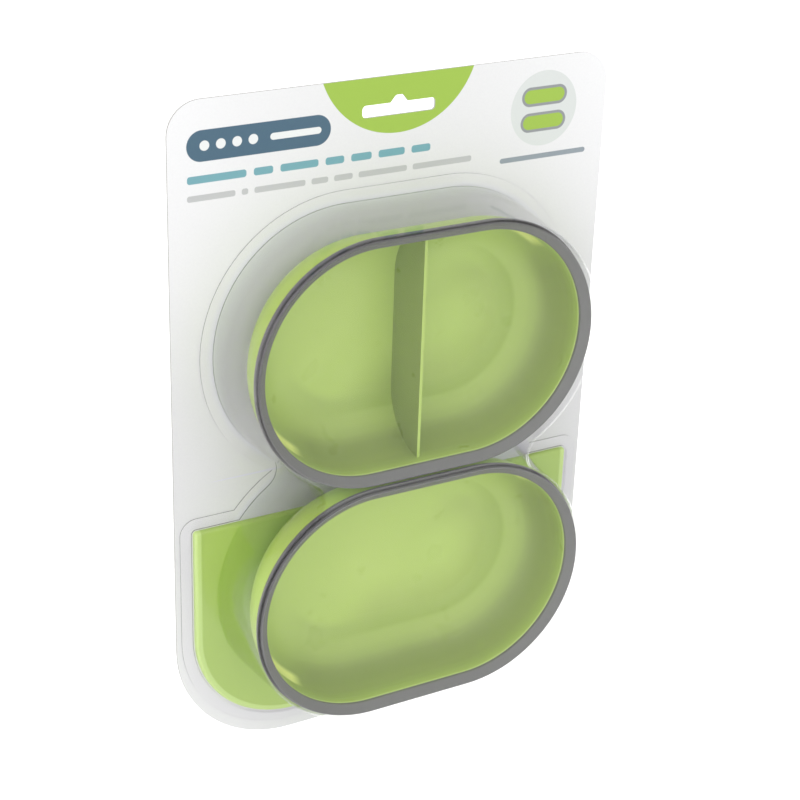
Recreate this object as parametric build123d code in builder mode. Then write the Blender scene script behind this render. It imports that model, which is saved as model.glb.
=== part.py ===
from build123d import *
import os
from math import sqrt

# Carded hang pack holding two oval feeding bowls and a feeding mat.
#
# Frame: +X to the right, +Y into the pack (towards its back), +Z up.  Origin at
# the peg seat of the hang slot, that is the top of the slot's hump, in the plane
# of the card's back face.  Everything else hangs below and in front of it (-Y).
# All dimensions in millimetres.

# ---------------------------------------------------------------- card
card_w = 216.6            # card width
card_top = 8.8            # card edge above the peg seat
card_bottom = -311.2      # lower edge of the card
card_t = 1.0              # board thickness
card_r_top = 15.0         # upper corner radius
card_r_bot = 58.0         # lower corner radius

slot_w = 36.0             # hang slot, end to end
slot_band_top = -3.2      # flat part of the slot's upper edge
slot_band_bot = -8.8      # lower edge of the slot
slot_r = 1.9              # corner radius of the slot's ends
hump_base = 8.6           # width of the hump where it meets the band
hump_top_w = 3.4          # width of the hump near its top, before rounding

# ---------------------------------------------------------------- bowls
seal_l = 170.0            # outer length of the seal
seal_h = 118.2            # outer width of the seal
seal_r = seal_h / 2       # end radius
half_a = seal_l / 2 - seal_r   # half the straight side
bowl_h = 35.0             # rim plane to base
pitch = 119.0             # centre distance of the two bowls
z_up = -108.7             # centre of the upper bowl
z_lo = z_up - pitch       # centre of the lower bowl

skirt_out = 3.2           # depth of the seal's outer skirt
skirt_in = 2.2            # depth of the seal's inner edge
seal_w = 5.2              # inset of the seal's inner edge
crest_in = 1.25           # inset of the sealing lip's crest
crest_up = 2.05           # height of the crest in front of the rim plane
lip_o = 1.5               # inset of the bowl lip from the seal's outside
lip_i = 2.85              # inset of the lip's inner face
lip_top = 1.1             # depth of the lip's top below the rim plane

wall_o = 2.0              # inset of the outer wall below the seal
wall_i = 5.3              # inset of the inner wall below the seal
arc_co = 31.0             # inset of the outer arc's centre
arc_do = 6.0              # depth of the outer arc's centre
arc_ci = 31.7             # inset of the inner arc's centre
arc_di = 6.6              # depth of the inner arc's centre
arc_ro = arc_co - wall_o  # outer bowl arc radius
arc_ri = arc_ci - wall_i  # inner bowl arc radius
shoulder_r = 0.35         # rounding of the bowl's shoulder beside the seal
foot_in = 4.0             # width of the foot ring around the base recess
foot_d = 0.7              # depth of the base recess

div_t = 1.4               # divider thickness
div_top = 7.0             # divider's edge below the rim plane

# ---------------------------------------------------------------- mat
mat_w = 199.0
mat_up = 36.5             # mat edge above the lower bowl's centre
mat_down = 71.8           # mat edge below the lower bowl's centre
mat_t = 2.6
mat_r_bot = 51.0
mat_r_top = 1.6
mat_round = 2.2           # rounding of the mat's front edge

# ---------------------------------------------------------------- blister
sheet = 0.45              # sheet thickness
seal_film = 0.02          # sealing lacquer between flange and card
flange_up = 10.0          # flange edge outside the upper seal
flange_lo = 9.3           # flange edge outside the lower seal
flange_mat = 6.4          # flange edge outside the mat
ledge_off = 1.3           # ledge wall outside the mat, at the card
ledge_draft = 0.5         # how far the ledge wall leans in
ledge_h = 3.6             # outer height of the ledge over the mat
pocket_base = 4.3         # pocket wall outside the seals, at the card
pocket_front = 0.9        # pocket wall outside the seals, at the front
pocket_h = 40.4           # outer height of the pocket
neck_r = 10.0             # rounding of the necks between the two bowls
front_r = 2.3             # rounding of the pocket's front edge

y_card = -card_t                       # front face of the card
y_seal = y_card - seal_film            # back face of the blister's flange
y_rim_up = y_card - bowl_h             # rim plane of the upper bowl
y_rim_lo = y_card - mat_t - bowl_h     # rim plane of the lower bowl, on the mat


def front(y):
    """Sketch plane at depth y, seen from the front: local x = X, local y = Z."""
    return Plane(origin=(0, y, 0), x_dir=(1, 0, 0), z_dir=(0, -1, 0))


def cross(x, y_rim, zc):
    """Cross-section plane at x.  Local x = distance above zc, local y = height
    in front of the rim plane, so a depth d lies at local y = -d."""
    return Plane(origin=(x, y_rim, zc), x_dir=(0, 0, 1), z_dir=(1, 0, 0))


def at(o, d):
    """Section point at inset o from the seal's outside and depth d below the rim."""
    return (seal_r - o, -d)


s45 = sqrt(0.5)
rho_o = seal_r - arc_co         # distance of the outer arc's centre from the axis
rho_i = seal_r - arc_ci         # distance of the inner arc's centre from the axis
floor_d = arc_di + arc_ri       # depth of the bowl's floor

# ================================================================ sections

# Half section of a bowl: lip, upright wall, one large arc, floor and foot ring.
k_sh = shoulder_r * (1 - s45)
with BuildSketch() as bowl_half:
    with BuildLine():
        Line((0, -floor_d), (rho_i, -floor_d))
        ThreePointArc((rho_i, -floor_d),
                      (rho_i + arc_ri * s45, -(arc_di + arc_ri * s45)),
                      at(wall_i, arc_di))
        Line(at(wall_i, arc_di), at(wall_i, skirt_in + shoulder_r))
        ThreePointArc(at(wall_i, skirt_in + shoulder_r),
                      at(wall_i - k_sh, skirt_in + k_sh),
                      at(wall_i - shoulder_r, skirt_in))
        Polyline(at(wall_i - shoulder_r, skirt_in), at(lip_i, skirt_in),
                 at(lip_i, lip_top), at(lip_o, lip_top), at(lip_o, skirt_out),
                 at(wall_o, skirt_out), at(wall_o, arc_do))
        ThreePointArc(at(wall_o, arc_do),
                      (rho_o + arc_ro * s45, -(arc_do + arc_ro * s45)),
                      (rho_o, -bowl_h))
        Polyline((rho_o, -bowl_h), (rho_o - foot_in, -bowl_h),
                 (rho_o - foot_in - 0.7, -(bowl_h - foot_d)),
                 (0, -(bowl_h - foot_d)), (0, -floor_d))
    make_face()
with BuildSketch() as bowl_full:
    add(bowl_half.sketch)
    mirror(about=Plane.YZ)

# One leg of the seal: a channel over the bowl's lip, a face that slopes up and
# outwards to a soft sealing lip, a hollow under that lip and a short skirt.
with BuildSketch() as seal_half:
    with BuildLine():
        Polyline(at(0.8, skirt_out), at(lip_o, skirt_out), at(lip_o, lip_top),
                 at(lip_i, lip_top), at(lip_i, skirt_in), at(seal_w, skirt_in),
                 at(seal_w, 1.35))
        ThreePointArc(at(seal_w, 1.35), at(seal_w - 0.13, 0.93), at(seal_w - 0.48, 0.58))
        Line(at(seal_w - 0.48, 0.58), at(crest_in + 0.45, 0.22 - crest_up))
        ThreePointArc(at(crest_in + 0.45, 0.22 - crest_up), at(crest_in, -crest_up),
                      at(crest_in - 0.33, 0.27 - crest_up))
        ThreePointArc(at(crest_in - 0.33, 0.27 - crest_up), at(1.50, -0.45), at(0.42, 0.62))
        ThreePointArc(at(0.42, 0.62), at(0.06, 0.90), at(0.0, 1.35))
        Line(at(0.0, 1.35), at(0.8, skirt_out))
    make_face()
with BuildSketch() as seal_full:
    add(seal_half.sketch)
    mirror(about=Plane.YZ)

# The divider's section: the bowl's hollow, let 0.6 mm into the wall and floor.
div_let = 0.6
arc_rd = arc_ri + div_let
div_end = (rho_i + sqrt(arc_rd ** 2 - (div_top - arc_di) ** 2), -div_top)
with BuildSketch() as divider_half:
    with BuildLine():
        Line((0, -floor_d - div_let), (rho_i, -floor_d - div_let))
        ThreePointArc((rho_i, -floor_d - div_let),
                      (rho_i + arc_rd * s45, -(arc_di + arc_rd * s45)), div_end)
        Polyline(div_end, (0, -div_top), (0, -floor_d - div_let))
    make_face()
with BuildSketch() as divider_full:
    add(divider_half.sketch)
    mirror(about=Plane.YZ)

# ================================================================ pieces

# The hang card: one printed board with a euro hang slot.
with BuildPart() as hang_card:
    with BuildSketch(front(0)) as card_outline:
        with Locations((0, (card_top + card_bottom) / 2)):
            Rectangle(card_w, card_top - card_bottom)
        fillet(card_outline.vertices().group_by(Axis.Y)[-1], card_r_top)
        fillet(card_outline.vertices().group_by(Axis.Y)[0], card_r_bot)
    extrude(amount=card_t)
    with BuildSketch(front(0)) as slot_outline:
        with Locations((0, (slot_band_top + slot_band_bot) / 2)):
            RectangleRounded(slot_w, slot_band_top - slot_band_bot, slot_r)
        with BuildLine():
            Polyline((-hump_base / 2, slot_band_top - 1.0),
                     (-hump_base / 2, slot_band_top),
                     (-hump_top_w / 2, 0), (hump_top_w / 2, 0),
                     (hump_base / 2, slot_band_top),
                     (hump_base / 2, slot_band_top - 1.0), close=True)
        make_face()
        fillet(slot_outline.vertices().group_by(Axis.Y)[-1], 1.5)
    extrude(amount=card_t, mode=Mode.SUBTRACT)
hang_card.part.label = "hang_card"


# The mat: straight top edge, large rounded lower corners, rounded front edge.
with BuildPart() as feeding_mat:
    with BuildSketch(front(y_card)) as mat_outline:
        with Locations((0, z_lo + (mat_up - mat_down) / 2)):
            Rectangle(mat_w, mat_up + mat_down)
        fillet(mat_outline.vertices().group_by(Axis.Y)[-1], mat_r_top)
        fillet(mat_outline.vertices().group_by(Axis.Y)[0], mat_r_bot)
    extrude(amount=mat_t)
    fillet(feeding_mat.faces().sort_by(Axis.Y)[0].edges(), mat_round * 0.7)
feeding_mat.part.label = "feeding_mat"


# A bowl is one cross-section, drawn out along the straight sides and turned
# through half a circle at each end.
with BuildPart() as split_bowl:
    with BuildSketch(cross(-half_a, y_rim_up, z_up)):
        add(bowl_full.sketch)
    extrude(amount=2 * half_a)
    with BuildSketch(cross(half_a, y_rim_up, z_up)):
        add(bowl_half.sketch)
    revolve(axis=Axis((half_a, y_rim_up, z_up), (0, 1, 0)), revolution_arc=180)
    with BuildSketch(cross(-half_a, y_rim_up, z_up)):
        add(bowl_half.sketch)
    revolve(axis=Axis((-half_a, y_rim_up, z_up), (0, -1, 0)), revolution_arc=180)
    # the divider across the middle, let into the wall and the floor
    with BuildSketch(cross(-div_t / 2, y_rim_up, z_up)):
        add(divider_full.sketch)
    extrude(amount=div_t)
split_bowl.part.label = "split_bowl"

with BuildPart() as single_bowl:
    with BuildSketch(cross(-half_a, y_rim_lo, z_lo)):
        add(bowl_full.sketch)
    extrude(amount=2 * half_a)
    with BuildSketch(cross(half_a, y_rim_lo, z_lo)):
        add(bowl_half.sketch)
    revolve(axis=Axis((half_a, y_rim_lo, z_lo), (0, 1, 0)), revolution_arc=180)
    with BuildSketch(cross(-half_a, y_rim_lo, z_lo)):
        add(bowl_half.sketch)
    revolve(axis=Axis((-half_a, y_rim_lo, z_lo), (0, -1, 0)), revolution_arc=180)
single_bowl.part.label = "single_bowl"

# The seals: soft channels pressed over the bowls' lips.
with BuildPart() as split_bowl_seal:
    with BuildSketch(cross(-half_a, y_rim_up, z_up)):
        add(seal_full.sketch)
    extrude(amount=2 * half_a)
    with BuildSketch(cross(half_a, y_rim_up, z_up)):
        add(seal_half.sketch)
    revolve(axis=Axis((half_a, y_rim_up, z_up), (0, 1, 0)), revolution_arc=180)
    with BuildSketch(cross(-half_a, y_rim_up, z_up)):
        add(seal_half.sketch)
    revolve(axis=Axis((-half_a, y_rim_up, z_up), (0, -1, 0)), revolution_arc=180)
split_bowl_seal.part.label = "split_bowl_seal"

with BuildPart() as single_bowl_seal:
    with BuildSketch(cross(-half_a, y_rim_lo, z_lo)):
        add(seal_full.sketch)
    extrude(amount=2 * half_a)
    with BuildSketch(cross(half_a, y_rim_lo, z_lo)):
        add(seal_half.sketch)
    revolve(axis=Axis((half_a, y_rim_lo, z_lo), (0, 1, 0)), revolution_arc=180)
    with BuildSketch(cross(-half_a, y_rim_lo, z_lo)):
        add(seal_half.sketch)
    revolve(axis=Axis((-half_a, y_rim_lo, z_lo), (0, -1, 0)), revolution_arc=180)
single_bowl_seal.part.label = "single_bowl_seal"


# The blister: one thermoformed sheet.  A flat flange is sealed to the card, a low
# ledge covers the mat and one deep pocket with two rounded necks holds the bowls.
def pocket_outline(sk, off):
    """Two overlapping ovals, off outside the seals, with rounded necks."""
    with Locations((0, z_up), (0, z_lo)):
        SlotOverall(seal_l + 2 * off, seal_h + 2 * off)
    zm = (z_up + z_lo) / 2
    necks = [v for v in sk.vertices() if abs(v.Y - zm) < 0.5 and abs(v.X) > 5]
    fillet(necks, neck_r)


def mat_shape(sk, off):
    """The mat's outline, off outside its edge."""
    with Locations((0, z_lo + (mat_up - mat_down) / 2)):
        Rectangle(mat_w + 2 * off, mat_up + mat_down + 2 * off)
    fillet(sk.vertices().group_by(Axis.Y)[-1], mat_r_top + off)
    fillet(sk.vertices().group_by(Axis.Y)[0], mat_r_bot + off)


def slope(h):
    """Pocket wall offset at height h above the card."""
    return pocket_base + (pocket_front - pocket_base) * h / pocket_h


# outside of the pocket
with BuildPart() as pocket_out:
    with BuildSketch(front(y_seal)) as po_a:
        pocket_outline(po_a, slope(0))
    with BuildSketch(front(y_card - pocket_h)) as po_b:
        pocket_outline(po_b, slope(pocket_h))
    loft(ruled=True)
    fillet(pocket_out.faces().sort_by(Axis.Y)[0].edges(), front_r)

# hollow of the pocket
with BuildPart() as pocket_in:
    with BuildSketch(front(y_card + 1.0)) as pi_a:
        pocket_outline(pi_a, slope(-1.0) - sheet)
    with BuildSketch(front(y_card - pocket_h + sheet)) as pi_b:
        pocket_outline(pi_b, slope(pocket_h - sheet) - sheet)
    loft(ruled=True)
    fillet(pocket_in.faces().sort_by(Axis.Y)[0].edges(), front_r - sheet)

# outside and hollow of the ledge over the mat
with BuildPart() as ledge_out:
    with BuildSketch(front(y_seal)) as lo_a:
        mat_shape(lo_a, ledge_off)
    with BuildSketch(front(y_card - ledge_h)) as lo_b:
        mat_shape(lo_b, ledge_off - ledge_draft)
    loft(ruled=True)
    fillet(ledge_out.faces().sort_by(Axis.Y)[0].edges(), 0.9)

with BuildPart() as ledge_in:
    with BuildSketch(front(y_card + 1.0)) as li_a:
        mat_shape(li_a, ledge_off - sheet + ledge_draft / ledge_h)
    with BuildSketch(front(y_card - ledge_h + sheet)) as li_b:
        mat_shape(li_b, ledge_off - ledge_draft - sheet)
    loft(ruled=True)
    fillet(ledge_in.faces().sort_by(Axis.Y)[0].edges(), 0.45)

with BuildPart() as blister:
    with BuildSketch(front(y_seal)) as flange_outline:
        with Locations((0, z_up)):
            SlotOverall(seal_l + 2 * flange_up, seal_h + 2 * flange_up)
        with Locations((0, z_lo)):
            SlotOverall(seal_l + 2 * flange_lo, seal_h + 2 * flange_lo)
    extrude(amount=sheet)
    with BuildSketch(front(y_seal)) as flange_mat_outline:
        mat_shape(flange_mat_outline, flange_mat)
    extrude(amount=sheet)
    add(ledge_out.part)
    add(pocket_out.part)
    add(ledge_in.part, mode=Mode.SUBTRACT)
    add(pocket_in.part, mode=Mode.SUBTRACT)
blister.part.label = "blister"


# ================================================================ output
os.makedirs("parts", exist_ok=True)
for piece in (hang_card, feeding_mat, split_bowl, split_bowl_seal,
              single_bowl, single_bowl_seal, blister):
    part = piece.part
    print(part.label, "solids", len(part.solids()), "volume %.0f mm3" % part.volume,
          "valid", part.is_valid)
    export_step(part, "parts/" + part.label + ".step")
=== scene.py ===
import math
import bpy
from mathutils import Matrix, Vector

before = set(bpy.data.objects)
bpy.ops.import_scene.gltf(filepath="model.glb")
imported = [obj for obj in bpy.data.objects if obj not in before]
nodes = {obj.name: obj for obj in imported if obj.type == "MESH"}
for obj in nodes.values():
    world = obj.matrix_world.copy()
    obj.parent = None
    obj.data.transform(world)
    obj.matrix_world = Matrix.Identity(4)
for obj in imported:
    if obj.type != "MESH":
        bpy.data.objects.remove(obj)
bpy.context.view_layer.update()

MM = 0.001

# ------------------------------------------------------------------ sizes (mm)
CARD_W, CARD_TOP, CARD_BOTTOM = 216.6, 8.8, -311.2
Z_UP, Z_LO = -108.7, -227.7
MAT_W, MAT_R, MAT_BOT = 199.0, 51.0, -299.5


# ------------------------------------------------------------------ node helper
class Tree:
    """Small helper to write shader trees as expressions."""

    def __init__(self, name):
        self.mat = bpy.data.materials.new(name)
        self.mat.use_nodes = True
        self.t = self.mat.node_tree
        self.t.nodes.clear()
        self.out = self.t.nodes.new("ShaderNodeOutputMaterial")

    def node(self, kind, **props):
        n = self.t.nodes.new(kind)
        for k, v in props.items():
            setattr(n, k, v)
        return n

    def link(self, a, b):
        self.t.links.new(a, b)

    def put(self, socket, value):
        if isinstance(value, bpy.types.NodeSocket):
            self.link(value, socket)
        else:
            socket.default_value = value

    def math(self, op, a, b=None, c=None, clamp=False):
        n = self.node("ShaderNodeMath", operation=op, use_clamp=clamp)
        self.put(n.inputs[0], a)
        if b is not None:
            self.put(n.inputs[1], b)
        if c is not None:
            self.put(n.inputs[2], c)
        return n.outputs[0]

    def xyz(self):
        tc = self.node("ShaderNodeTexCoord")
        s = self.node("ShaderNodeSeparateXYZ")
        self.link(tc.outputs["Object"], s.inputs[0])
        return tc.outputs["Object"], s.outputs[0], s.outputs[1], s.outputs[2]

    def noise(self, vec, scale, detail=2.0, rough=0.5, dist=0.0):
        n = self.node("ShaderNodeTexNoise")
        self.link(vec, n.inputs["Vector"])
        n.inputs["Scale"].default_value = scale
        n.inputs["Detail"].default_value = detail
        n.inputs["Roughness"].default_value = rough
        n.inputs["Distortion"].default_value = dist
        return n.outputs["Fac"]

    def ramp(self, fac, stops, interp="LINEAR"):
        n = self.node("ShaderNodeValToRGB")
        cr = n.color_ramp
        cr.interpolation = interp
        while len(cr.elements) > 1:
            cr.elements.remove(cr.elements[-1])
        cr.elements[0].position = stops[0][0]
        cr.elements[0].color = stops[0][1]
        for p, c in stops[1:]:
            e = cr.elements.new(p)
            e.color = c
        self.link(fac, n.inputs[0])
        return n.outputs[0]

    def mix(self, fac, a, b, blend="MIX"):
        n = self.node("ShaderNodeMix", data_type="RGBA", blend_type=blend)
        self.put(n.inputs[0], fac)
        self.put(n.inputs[6], a)
        self.put(n.inputs[7], b)
        return n.outputs[2]

    def maprange(self, v, a, b, c, d, clamp=True):
        n = self.node("ShaderNodeMapRange", clamp=clamp)
        self.put(n.inputs[0], v)
        for i, x in enumerate((a, b, c, d)):
            n.inputs[i + 1].default_value = x
        return n.outputs[0]

    def bump(self, height, strength, distance, normal=None):
        n = self.node("ShaderNodeBump")
        n.inputs["Strength"].default_value = strength
        n.inputs["Distance"].default_value = distance
        self.link(height, n.inputs["Height"])
        if normal is not None:
            self.link(normal, n.inputs["Normal"])
        return n.outputs[0]

    def principled(self, **kw):
        n = self.node("ShaderNodeBsdfPrincipled")
        for k, v in kw.items():
            self.put(n.inputs[k.replace("_", " ")], v)
        return n


def srgb(r, g, b):
    def f(c):
        c /= 255.0
        return c / 12.92 if c <= 0.04045 else ((c + 0.055) / 1.055) ** 2.4
    return (f(r), f(g), f(b), 1.0)


# ------------------------------------------------------------------ materials
def bowl_material():
    """Moulded green plastic: satin, a very fine spark texture, slight tone
    variation from the moulding, painted shade low on the inner wall and a
    faint painted shade ring where the wall's curve runs out into the floor."""
    t = Tree("bowl_green")
    obj, x, y, z = t.xyz()
    tc = t.node("ShaderNodeTexCoord")
    sn = t.node("ShaderNodeSeparateXYZ")
    t.link(tc.outputs["Normal"], sn.inputs[0])
    low = t.maprange(z, -0.1677, -0.1687, 0.0, 1.0)             # lower bowl
    zc = t.math("SUBTRACT", z, t.maprange(low, 0, 1, Z_UP * MM, Z_LO * MM))
    depth = t.math("ADD", t.math("MULTIPLY", y, 1000.0), t.maprange(low, 0, 1, 36.0, 38.6))
    facing_in = t.math("ADD", t.math("MULTIPLY", sn.outputs[0], x),
                       t.math("MULTIPLY", sn.outputs[2], zc))
    inside = t.maprange(facing_in, -0.0005, -0.006, 0.0, 1.0)
    inside_up = t.maprange(sn.outputs[1], -0.5, -0.7, 0.0, 1.0)  # faces the mouth
    # painted shade: the inner wall is painted darker by depth, strongest low on the right
    nx, ny, nz = sn.outputs
    flat = t.math("SQRT", t.math("ADD", t.math("MULTIPLY", nx, nx), t.math("MULTIPLY", nz, nz)))
    flat = t.math("MAXIMUM", flat, 0.02)
    turn = t.math("DIVIDE", t.math("MULTIPLY", t.math("SUBTRACT", nz, nx), 0.7071), flat)
    turn = t.maprange(turn, -0.40, 0.32, 0.0, 1.0)
    wall = t.ramp(t.math("DIVIDE", depth, 35.0), [
        (0.00, (0.95, 0.95, 0.95, 1)), (0.10, (0.92, 0.91, 0.91, 1)),
        (0.15, (0.87, 0.85, 0.86, 1)), (0.22, (0.74, 0.72, 0.74, 1)),
        (0.34, (0.64, 0.61, 0.66, 1)), (0.50, (0.57, 0.55, 0.61, 1)),
        (0.62, (0.57, 0.55, 0.61, 1)), (0.68, (0.64, 0.62, 0.67, 1)),
        (0.75, (0.76, 0.75, 0.77, 1)), (0.83, (0.84, 0.83, 0.84, 1)),
        (0.89, (0.84, 0.84, 0.83, 1)), (0.95, (0.82, 0.82, 0.82, 1))], "EASE")
    cloud = t.noise(obj, 18.0, 3.0, 0.55)
    grain = t.noise(obj, 1400.0, 2.0, 0.6)
    base = t.mix(t.maprange(cloud, 0.35, 0.65, 0.0, 1.0),
                 srgb(183, 208, 105), srgb(187, 211, 109))
    base = t.mix(t.maprange(grain, 0.3, 0.7, 0.0, 0.035), base, srgb(158, 182, 90))
    base = t.mix(t.math("MULTIPLY", inside, turn), base, t.mix(1.0, base, wall, "MULTIPLY"))
    # painted light: the outer wall is painted brighter and greener than the inside
    outside = t.maprange(facing_in, 0.0005, 0.006, 0.0, 1.0)
    base = t.mix(outside, base, t.mix(1.0, base, (1.07, 1.15, 0.82, 1), "MULTIPLY"))
    # painted light: walls that face down are painted brighter, standing in for light from the shelf below
    under = t.math("MULTIPLY", t.maprange(nz, -0.25, -0.95, 0.0, 1.0), inside)
    base = t.mix(t.math("MULTIPLY", under, t.maprange(depth, 16.0, 3.0, 0.0, 1.0)),
                 base, t.mix(1.0, base, (1.34, 1.34, 1.34, 1), "MULTIPLY"))
    # painted shade: the divider's left face is painted darker, as if in shade
    fence = t.math("MULTIPLY", t.maprange(t.math("ABSOLUTE", x), 0.0010, 0.0008, 1e-6, 1.0),
                   t.maprange(nx, -0.6, -0.9, 0.0, 1.0))
    fence = t.math("MULTIPLY", fence, t.math("SUBTRACT", 1.0, low))
    base = t.mix(fence, base, t.mix(1.0, base, (0.60, 0.57, 0.66, 1), "MULTIPLY"))
    # painted shade: a faint ring where the wall's curve runs out into the floor, and a darker floor towards the
    # lower right; er is the distance from the bowl's long axis
    ex = t.math("MAXIMUM", t.math("SUBTRACT", t.math("ABSOLUTE", x), 0.0259), 0.0)
    er = t.math("SQRT", t.math("ADD", t.math("MULTIPLY", ex, ex), t.math("MULTIPLY", zc, zc)))
    er = t.math("MULTIPLY", er, 1000.0)
    ring = t.math("MULTIPLY", t.maprange(er, 28.0, 36.2, 0.0, 1.0), t.maprange(er, 36.4, 38.0, 1.0, 0.0))
    side = t.math("MULTIPLY", t.math("SUBTRACT", x, zc), 707.1)
    side = t.maprange(t.math("DIVIDE", side, t.math("ADD", er, 1.0)), -0.10, 0.55, 0.0, 1.0)
    deep = t.math("MULTIPLY", t.maprange(depth, 28.0, 29.5, 0.0, 1.0), inside_up)
    ring = t.math("MULTIPLY", t.math("MULTIPLY", ring, deep), side)
    base = t.mix(ring, base, t.mix(1.0, base, (0.86, 0.88, 0.70, 1), "MULTIPLY"))
    shade = t.math("MULTIPLY", t.maprange(er, 8.0, 27.0, 0.0, 1.0), t.math("MULTIPLY", side, deep))
    shade = t.math("MULTIPLY", shade, t.math("SUBTRACT", 1.0, inside))
    base = t.mix(shade, base, t.mix(1.0, base, (0.84, 0.83, 0.83, 1), "MULTIPLY"))

    # painted highlights: short bright streaks upper right and lower left, and a
    # painted light line along the shoulder beside the seal
    def towards(deg, lo, hi):
        c, k = math.cos(math.radians(deg)), math.sin(math.radians(deg))
        q = t.math("ADD", t.math("MULTIPLY", nx, -c), t.math("MULTIPLY", nz, -k))
        return t.maprange(t.math("DIVIDE", q, flat), lo, hi, 0.0, 1.0)

    top_hl = t.math("MULTIPLY", towards(62.0, 0.945, 0.978),
                    t.math("MULTIPLY", t.maprange(depth, 10.0, 12.0, 0.0, 1.0), t.maprange(depth, 17.0, 19.5, 1.0, 0.0)))
    low_hl = t.math("MULTIPLY", towards(217.0, 0.945, 0.980),
                    t.math("MULTIPLY", t.maprange(depth, 11.0, 12.5, 0.0, 1.0), t.maprange(depth, 16.5, 19.0, 1.0, 0.0)))
    painted_streaks = t.math("MULTIPLY", t.math("ADD", top_hl, low_hl), inside)
    base = t.mix(t.math("MULTIPLY", painted_streaks, 1.0, clamp=True), base, srgb(248, 255, 158))
    painted_shoulder_line = t.math("MULTIPLY", t.maprange(depth, 3.3, 2.9, 0.0, 1.0), inside)
    base = t.mix(t.math("MULTIPLY", painted_shoulder_line, 0.55), base, srgb(225, 240, 160))
    rough = t.maprange(t.noise(obj, 60.0, 3.0, 0.5), 0.3, 0.7, 0.27, 0.34)
    p = t.principled(Base_Color=base, Roughness=rough)
    p.inputs["IOR"].default_value = 1.46
    p.inputs["Specular IOR Level"].default_value = 0.42
    t.link(t.bump(grain, 0.01, 0.00003), p.inputs["Normal"])
    t.link(p.outputs[0], t.out.inputs[0])
    return t.mat


def seal_material():
    """Soft grey seal: matt, with painted shade in the hollow under its lip."""
    t = Tree("seal_grey")
    obj, x, y, z = t.xyz()
    cloud = t.noise(obj, 40.0, 3.0, 0.5)
    grain = t.noise(obj, 3200.0, 2.0, 0.6)
    base = t.mix(cloud, srgb(112, 111, 112), srgb(117, 116, 117))
    # place across the seal: inset from its outer edge, depth behind the rim
    low = t.maprange(z, -0.1677, -0.1687, 0.0, 1.0)
    zc = t.math("SUBTRACT", z, t.maprange(low, 0, 1, Z_UP * MM, Z_LO * MM))
    depth = t.math("ADD", t.math("MULTIPLY", y, 1000.0), t.maprange(low, 0, 1, 36.0, 38.6))
    ex = t.math("MAXIMUM", t.math("SUBTRACT", t.math("ABSOLUTE", x), 0.0259), 0.0)
    er = t.math("SQRT", t.math("ADD", t.math("MULTIPLY", ex, ex), t.math("MULTIPLY", zc, zc)))
    inset = t.math("SUBTRACT", 59.1, t.math("MULTIPLY", er, 1000.0))
    hollow = t.math("MULTIPLY", t.maprange(inset, 0.35, 0.55, 0.0, 1.0), t.maprange(inset, 1.25, 1.48, 1.0, 0.0))
    hollow = t.math("MULTIPLY", hollow, t.math("MULTIPLY", t.maprange(depth, 0.75, 0.45, 0.0, 1.0),
                                               t.maprange(depth, -1.85, -1.55, 0.0, 1.0)))
    # painted shade: the hollow under the lip is painted near black
    base = t.mix(hollow, base, t.mix(1.0, base, (0.13, 0.13, 0.12, 1), "MULTIPLY"))
    rough = t.maprange(cloud, 0.3, 0.7, 0.42, 0.50)
    p = t.principled(Base_Color=base, Roughness=rough)
    p.inputs["IOR"].default_value = 1.5
    p.inputs["Specular IOR Level"].default_value = 0.4
    t.link(t.bump(grain, 0.08, 0.00006), p.inputs["Normal"])
    t.link(p.outputs[0], t.out.inputs[0])
    return t.mat


def mat_material():
    """Smooth soft mat: satin green, its rounded edge painted lighter as painted light."""
    t = Tree("mat_green")
    obj, x, y, z = t.xyz()
    cloud = t.noise(obj, 22.0, 3.0, 0.5)
    grain = t.noise(obj, 1500.0, 3.0, 0.6)
    base = t.mix(cloud, srgb(178, 207, 103), srgb(182, 211, 108))
    X = t.math("MULTIPLY", x, 1000.0)
    Z = t.math("MULTIPLY", z, 1000.0)
    # distance inside the mat's outline: straight sides, round lower corners
    ax = t.math("SUBTRACT", t.math("ABSOLUTE", X), MAT_W / 2 - MAT_R)
    az = t.math("SUBTRACT", t.math("MULTIPLY", t.math("SUBTRACT", Z, MAT_BOT), -1.0), -MAT_R)
    cx = t.math("MAXIMUM", ax, 0.0)
    cz = t.math("MAXIMUM", az, 0.0)
    d = t.math("SQRT", t.math("ADD", t.math("MULTIPLY", cx, cx), t.math("MULTIPLY", cz, cz)))
    # painted light: a band along the rounded edge is painted lighter
    edge = t.maprange(d, MAT_R - 3.4, MAT_R - 2.6, 0.0, 1.0)
    base = t.mix(edge, base, srgb(206, 232, 142))
    rough = t.maprange(cloud, 0.3, 0.7, 0.38, 0.46)
    p = t.principled(Base_Color=base, Roughness=rough)
    p.inputs["IOR"].default_value = 1.46
    p.inputs["Specular IOR Level"].default_value = 0.4
    t.link(t.bump(grain, 0.05, 0.00006), p.inputs["Normal"])
    t.link(p.outputs[0], t.out.inputs[0])
    return t.mat


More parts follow.
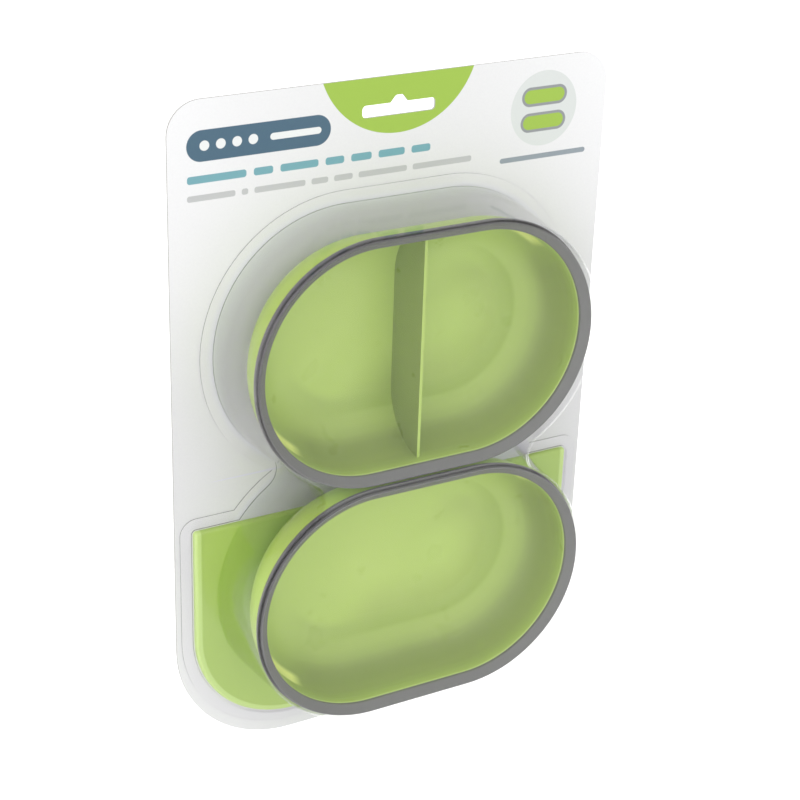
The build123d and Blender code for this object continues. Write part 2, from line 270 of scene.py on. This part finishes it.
def clear_material():
    """Thin clear PET sheet.  Light goes straight through with a faint grey
    tint; a deeper tint on the raised walls is painted shade, and it mirrors by
    its angle, more on the right and lower front bend as a painted highlight.  The face that is sealed to the
    card adds nothing."""
    t = Tree("clear_sheet")
    obj, x, y, z = t.xyz()
    tc = t.node("ShaderNodeTexCoord")
    sn = t.node("ShaderNodeSeparateXYZ")
    t.link(tc.outputs["Normal"], sn.inputs[0])
    nx, ny, nz = sn.outputs
    ymm = t.math("MULTIPLY", y, 1000.0)
    sealed = t.maprange(ymm, -1.10, -1.02, 0.0, 1.0)          # on the card
    front = t.maprange(ymm, -39.0, -40.2, 0.0, 1.0)            # flat front
    raised = t.maprange(ymm, -1.6, -13.0, 0.0, 1.0)            # off the card
    root = t.maprange(ymm, -2.2, -8.0, 0.0, 1.0)
    lay = t.node("ShaderNodeLayerWeight")
    lay.inputs["Blend"].default_value = 0.5
    facing = lay.outputs["Facing"]
    # painted shade: the see-through tint is deeper on the raised walls than on the flange and flat front,
    # standing in for the shade under the pocket; walls facing right and down and the sheet over the mat get less
    # of it
    tone = t.mix(raised, (0.995, 0.995, 0.995, 1), (0.925, 0.914, 0.932, 1))
    to_right = t.math("MULTIPLY", t.math("ABSOLUTE", nx), t.maprange(x, -0.02, 0.02, -1.0, 1.0))
    to_base = t.math("MULTIPLY", t.math("ABSOLUTE", nz), t.maprange(z, -0.1877, -0.2077, -1.0, 1.0))
    away = t.math("MULTIPLY", t.maprange(t.math("ADD", to_right, to_base), -0.35, 0.20, 0.0, 1.0), raised)
    tone = t.mix(away, tone, (0.994, 0.994, 0.994, 1))
    over_mat = t.maprange(t.math("MULTIPLY", z, 1000.0), -205.0, -186.0, 1.0, 0.0)
    tone = t.mix(t.math("MULTIPLY", over_mat, 0.70), tone, (0.975, 0.972, 0.980, 1))
    tone = t.mix(front, tone, (0.990, 0.991, 0.992, 1))
    # cut edge of the flange
    rim = t.math("MULTIPLY", t.maprange(ymm, -1.52, -1.46, 0.0, 1.0),
                 t.maprange(t.math("ABSOLUTE", ny), 0.6, 0.3, 0.0, 1.0))
    zc = t.math("SUBTRACT", z, t.maprange(z, -0.1677, -0.1687, Z_UP * MM, Z_LO * MM))
    outward = t.math("ADD", t.math("MULTIPLY", nx, x), t.math("MULTIPLY", nz, zc))
    rim = t.math("MULTIPLY", rim, t.maprange(outward, 0.004, 0.012, 0.0, 1.0))
    tone = t.mix(rim, tone, (0.34, 0.34, 0.33, 1))
    graze = t.math("MULTIPLY", t.math("POWER", facing, 5.0), t.maprange(root, 0, 1, 0.30, 1.0))
    tone = t.mix(t.math("MULTIPLY", graze, 0.16), tone, (0.45, 0.46, 0.46, 1))
    tone = t.mix(sealed, tone, (1, 1, 1, 1))
    see = t.node("ShaderNodeBsdfTransparent")
    t.link(tone, see.inputs[0])
    wave = t.noise(obj, 26.0, 2.0, 0.5)
    schlick = t.math("MULTIPLY_ADD", graze, 0.90, 0.022)
    mirror = t.principled(Roughness=0.06)
    mirror.inputs["Base Color"].default_value = (0.98, 0.98, 0.98, 1)
    mirror.inputs["Metallic"].default_value = 1.0
    nb = t.bump(wave, 0.15, 0.002)
    t.link(nb, mirror.inputs["Normal"])
    # painted highlight: the front bend on the right and lower sides is made far more mirror-like
    bend = t.math("MULTIPLY", t.maprange(ymm, -38.6, -39.6, 0.0, 1.0),
                  t.maprange(t.math("ABSOLUTE", ny), 0.90, 0.70, 0.0, 1.0))
    bend = t.math("MULTIPLY", bend, t.maprange(t.math("SUBTRACT", nx, nz), 0.15, 0.5, 0.0, 1.0))
    schlick = t.math("ADD", schlick, t.math("MULTIPLY", bend, 0.75), clamp=True)
    fac = t.math("MULTIPLY", schlick, t.math("SUBTRACT", 1.0, sealed))
    mixs = t.node("ShaderNodeMixShader")
    t.link(fac, mixs.inputs[0])
    t.link(see.outputs[0], mixs.inputs[1])
    t.link(mirror.outputs[0], mixs.inputs[2])
    t.link(mixs.outputs[0], t.out.inputs[0])
    return t.mat


def rrect(t, x, z, cx, cz, w, h, r, soft=0.12):
    """Mask of a rounded rectangle in the card's plane, all in mm."""
    ax = t.math("SUBTRACT", t.math("ABSOLUTE", t.math("SUBTRACT", x, cx)), w / 2 - r)
    az = t.math("SUBTRACT", t.math("ABSOLUTE", t.math("SUBTRACT", z, cz)), h / 2 - r)
    ax = t.math("MAXIMUM", ax, 0.0)
    az = t.math("MAXIMUM", az, 0.0)
    d = t.math("SQRT", t.math("ADD", t.math("MULTIPLY", ax, ax), t.math("MULTIPLY", az, az)))
    return t.maprange(d, r - soft, r + soft, 1.0, 0.0)


def disc(t, x, z, cx, cz, rx, rz=None, soft=0.12):
    rz = rz or rx
    dx = t.math("DIVIDE", t.math("SUBTRACT", x, cx), rx)
    dz = t.math("DIVIDE", t.math("SUBTRACT", z, cz), rz)
    d = t.math("SQRT", t.math("ADD", t.math("MULTIPLY", dx, dx), t.math("MULTIPLY", dz, dz)))
    s = soft / min(rx, rz)
    return t.maprange(d, 1 - s, 1 + s, 1.0, 0.0)


def card_material():
    """White lined board: printed, lacquered front, raw fibre edge and back."""
    t = Tree("printed_card")
    obj, x, y, z = t.xyz()
    X = t.math("MULTIPLY", x, 1000.0)
    Y = t.math("MULTIPLY", y, 1000.0)
    Z = t.math("MULTIPLY", z, 1000.0)
    fibre = t.noise(obj, 900.0, 3.0, 0.6)
    cloud = t.noise(obj, 9.0, 2.0, 0.5)
    white = t.mix(t.maprange(fibre, 0.3, 0.7, 0, 1), srgb(245, 245, 246), srgb(248, 248, 249))
    white = t.mix(t.math("MULTIPLY", cloud, 0.15), white, srgb(238, 239, 241))
    # fade, white at the top to light grey lower down and lighter again at the bottom, paler at the sides
    fade = t.ramp(t.math("DIVIDE", t.math("SUBTRACT", 8.8, Z), 320.0), [
        (0.00, (1.00, 1.00, 1.00, 1)), (0.15, (0.960, 0.955, 0.965, 1)),
        (0.25, (0.930, 0.922, 0.938, 1)), (0.33, (0.875, 0.866, 0.884, 1)),
        (0.42, (0.840, 0.830, 0.852, 1)), (0.66, (0.820, 0.812, 0.830, 1)),
        (0.80, (0.885, 0.880, 0.890, 1)), (1.00, (0.930, 0.926, 0.934, 1))])
    xc = t.math("DIVIDE", X, 105.0)
    mid = t.math("SUBTRACT", 1.0, t.math("MINIMUM", t.math("MULTIPLY", xc, xc), 1.0))
    white = t.mix(1.0, white, fade, "MULTIPLY")
    # painted shade: a faint bluish tint on the card behind the pockets, setting the colour of the shade under
    # them
    pz = t.math("SUBTRACT", Z, t.maprange(Z, -167.7, -168.7, Z_UP, Z_LO))
    px = t.math("MAXIMUM", t.math("SUBTRACT", t.math("ABSOLUTE", X), 25.9), 0.0)
    pr = t.math("SQRT", t.math("ADD", t.math("MULTIPLY", px, px), t.math("MULTIPLY", pz, pz)))
    white = t.mix(t.maprange(pr, 62.0, 66.0, 1.0, 0.0), white,
                  t.mix(1.0, white, (0.995, 0.98, 1.11, 1), "MULTIPLY"))
    # darker towards the middle than at the sides; partly printed fade, partly painted shade from the pack
    white = t.mix(t.math("MULTIPLY", mid, 0.09), white, (0.0, 0.0, 0.0, 1))
    col = white

    def over(mask, colour, col):
        return t.mix(mask, col, colour)

    green = srgb(163, 196, 80)
    slate = srgb(75, 105, 125)
    teal = srgb(120, 172, 182)
    grey = srgb(196, 197, 198)
    # hang tab
    col = over(disc(t, X, Z, 0, 22.4, 39.4), green, col)
    # header block, words as plain bars, pictogram panel
    col = over(rrect(t, X, Z, -66.3, -11.2, 66.6, 13.6, 6.8), slate, col)
    for k in range(4):
        col = over(disc(t, X, Z, -91.5 + 7.4 * k, -11.2, 2.2), srgb(238, 240, 240), col)
    col = over(rrect(t, X, Z, -49.5, -11.2, 24.0, 3.0, 1.5), srgb(238, 240, 240), col)
    at = -99.5
    for w in (27.0, 9.0, 18.0, 9.0, 10.0, 13.0, 9.5):
        col = over(rrect(t, X, Z, at + w / 2, -25.6, w, 3.4, 1.2), teal, col)
        at += w + 3.4
    at = -99.6
    for w in (22.0, 3.0, 24.0, 8.0, 9.0, 24.0, 30.0):
        col = over(rrect(t, X, Z, at + w / 2, -33.7, w, 2.7, 1.0), grey, col)
        at += w + 2.9
    # pictogram: two plain oval dishes on a pale disc
    col = over(disc(t, X, Z, 75.0, -15.0, 17.5), srgb(222, 226, 224), col)
    col = over(rrect(t, X, Z, 75.0, -9.2, 24.0, 9.0, 4.5), srgb(150, 153, 156), col)
    col = over(rrect(t, X, Z, 75.0, -9.2, 21.4, 6.4, 3.2), green, col)
    col = over(rrect(t, X, Z, 75.0, -21.2, 24.0, 9.0, 4.5), srgb(150, 153, 156), col)
    col = over(rrect(t, X, Z, 75.0, -21.2, 21.4, 6.4, 3.2), green, col)
    col = over(rrect(t, X, Z, 76.0, -37.4, 46.0, 2.4, 1.2), srgb(150, 160, 168), col)
    # raw board where it is not the printed face
    board = t.mix(t.maprange(fibre, 0.3, 0.7, 0, 1), srgb(214, 211, 204), srgb(226, 223, 216))
    face = t.maprange(Y, -0.93, -0.97, 0.0, 1.0)
    tc = t.node("ShaderNodeTexCoord")
    sn = t.node("ShaderNodeSeparateXYZ")
    t.link(tc.outputs["Normal"], sn.inputs[0])
    cut = t.maprange(t.math("ABSOLUTE", sn.outputs[1]), 0.6, 0.3, 0.0, 1.0)
    board = t.mix(cut, board, srgb(178, 177, 174))
    col = t.mix(t.math("MULTIPLY", face, t.math("SUBTRACT", 1.0, cut)), board, col)
    p = t.principled(Base_Color=col, Roughness=t.maprange(face, 0, 1, 0.85, 0.40))
    p.inputs["Specular IOR Level"].default_value = 0.35
    t.link(t.bump(fibre, 0.12, 0.0001), p.inputs["Normal"])
    t.link(p.outputs[0], t.out.inputs[0])
    return t.mat


def set_material(obj, mat):
    obj.data.materials.clear()
    obj.data.materials.append(mat)


bowl = bowl_material()
seal = seal_material()
mat_m = mat_material()
clear = clear_material()
card = card_material()
set_material(nodes["split_bowl"], bowl)
set_material(nodes["single_bowl"], bowl)
set_material(nodes["split_bowl_seal"], seal)
set_material(nodes["single_bowl_seal"], seal)
set_material(nodes["feeding_mat"], mat_m)
set_material(nodes["blister"], clear)
set_material(nodes["hang_card"], card)

# ------------------------------------------------------------------ stage
bpy.ops.mesh.primitive_circle_add(vertices=96, radius=9.0, fill_type="NGON",
                                  location=(0, 0, -0.62))
floor = bpy.context.object
floor.name = "floor"
ft = Tree("floor_pale")
fobj, fx, fy, fz = ft.xyz()
fp = ft.principled(Base_Color=ft.mix(ft.noise(fobj, 2.0), (0.955, 0.955, 0.955, 1), (0.965, 0.965, 0.965, 1)), Roughness=0.9)
fp.inputs["Specular IOR Level"].default_value = 0.0
fp.inputs["Emission Color"].default_value = (1, 1, 1, 1)
fp.inputs["Emission Strength"].default_value = 0.30
ft.link(fp.outputs[0], ft.out.inputs[0])
floor.data.materials.append(ft.mat)
floor.visible_diffuse = False

# ------------------------------------------------------------------ light
# One large soft studio dome, brightest in front of the pack, a little to the
# left and above.
scene = bpy.context.scene
world = bpy.data.worlds.new("studio")
scene.world = world
world.use_nodes = True
wt = world.node_tree
bg = wt.nodes["Background"]
wc = wt.nodes.new("ShaderNodeTexCoord")
wd = wt.nodes.new("ShaderNodeVectorMath")
wd.operation = "DOT_PRODUCT"
wt.links.new(wc.outputs["Generated"], wd.inputs[0])
lead = Vector((-0.58, -0.70, 0.42)).normalized()
wd.inputs[1].default_value = lead
wr = wt.nodes.new("ShaderNodeMapRange")
wr.interpolation_type = "SMOOTHSTEP"
wt.links.new(wd.outputs["Value"], wr.inputs[0])
wr.inputs[1].default_value = -0.35
wr.inputs[2].default_value = 1.0
wr.inputs[3].default_value = 0.50
wr.inputs[4].default_value = 1.50
# white backdrop behind the pack
ws = wt.nodes.new("ShaderNodeSeparateXYZ")
wt.links.new(wc.outputs["Generated"], ws.inputs[0])
wb = wt.nodes.new("ShaderNodeMapRange")
wb.interpolation_type = "SMOOTHSTEP"
wt.links.new(ws.outputs[1], wb.inputs[0])
wb.inputs[1].default_value = 0.0
wb.inputs[2].default_value = 0.6
wb.inputs[3].default_value = 0.0
wb.inputs[4].default_value = 0.75
wsum = wt.nodes.new("ShaderNodeMath")
wsum.operation = "ADD"
wt.links.new(wr.outputs[0], wsum.inputs[0])
wt.links.new(wb.outputs[0], wsum.inputs[1])
bg.inputs[0].default_value = (1.0, 1.0, 1.0, 1.0)
wt.links.new(wsum.outputs[0], bg.inputs[1])

# ------------------------------------------------------------------ camera
cam_data = bpy.data.cameras.new("camera")
cam_data.sensor_width = 36.0
cam_data.lens = 1930.9 / 800.0 * 36.0
cam_data.clip_start = 0.01
cam_data.clip_end = 50.0
cam = bpy.data.objects.new("camera", cam_data)
scene.collection.objects.link(cam)
right = Vector((0.87402381, -0.48484253, 0.03178203)).normalized()
back = Vector((-0.4499919, -0.783055, 0.4293392)).normalized()
up = back.cross(right).normalized()
right = up.cross(back).normalized()
cam.matrix_world = Matrix((
    (right.x, up.x, back.x, -0.39787),
    (right.y, up.y, back.y, -0.70299),
    (right.z, up.z, back.z, 0.23802),
    (0, 0, 0, 1)))
scene.camera = cam

scene.view_settings.view_transform = "Standard"
scene.view_settings.look = "None"
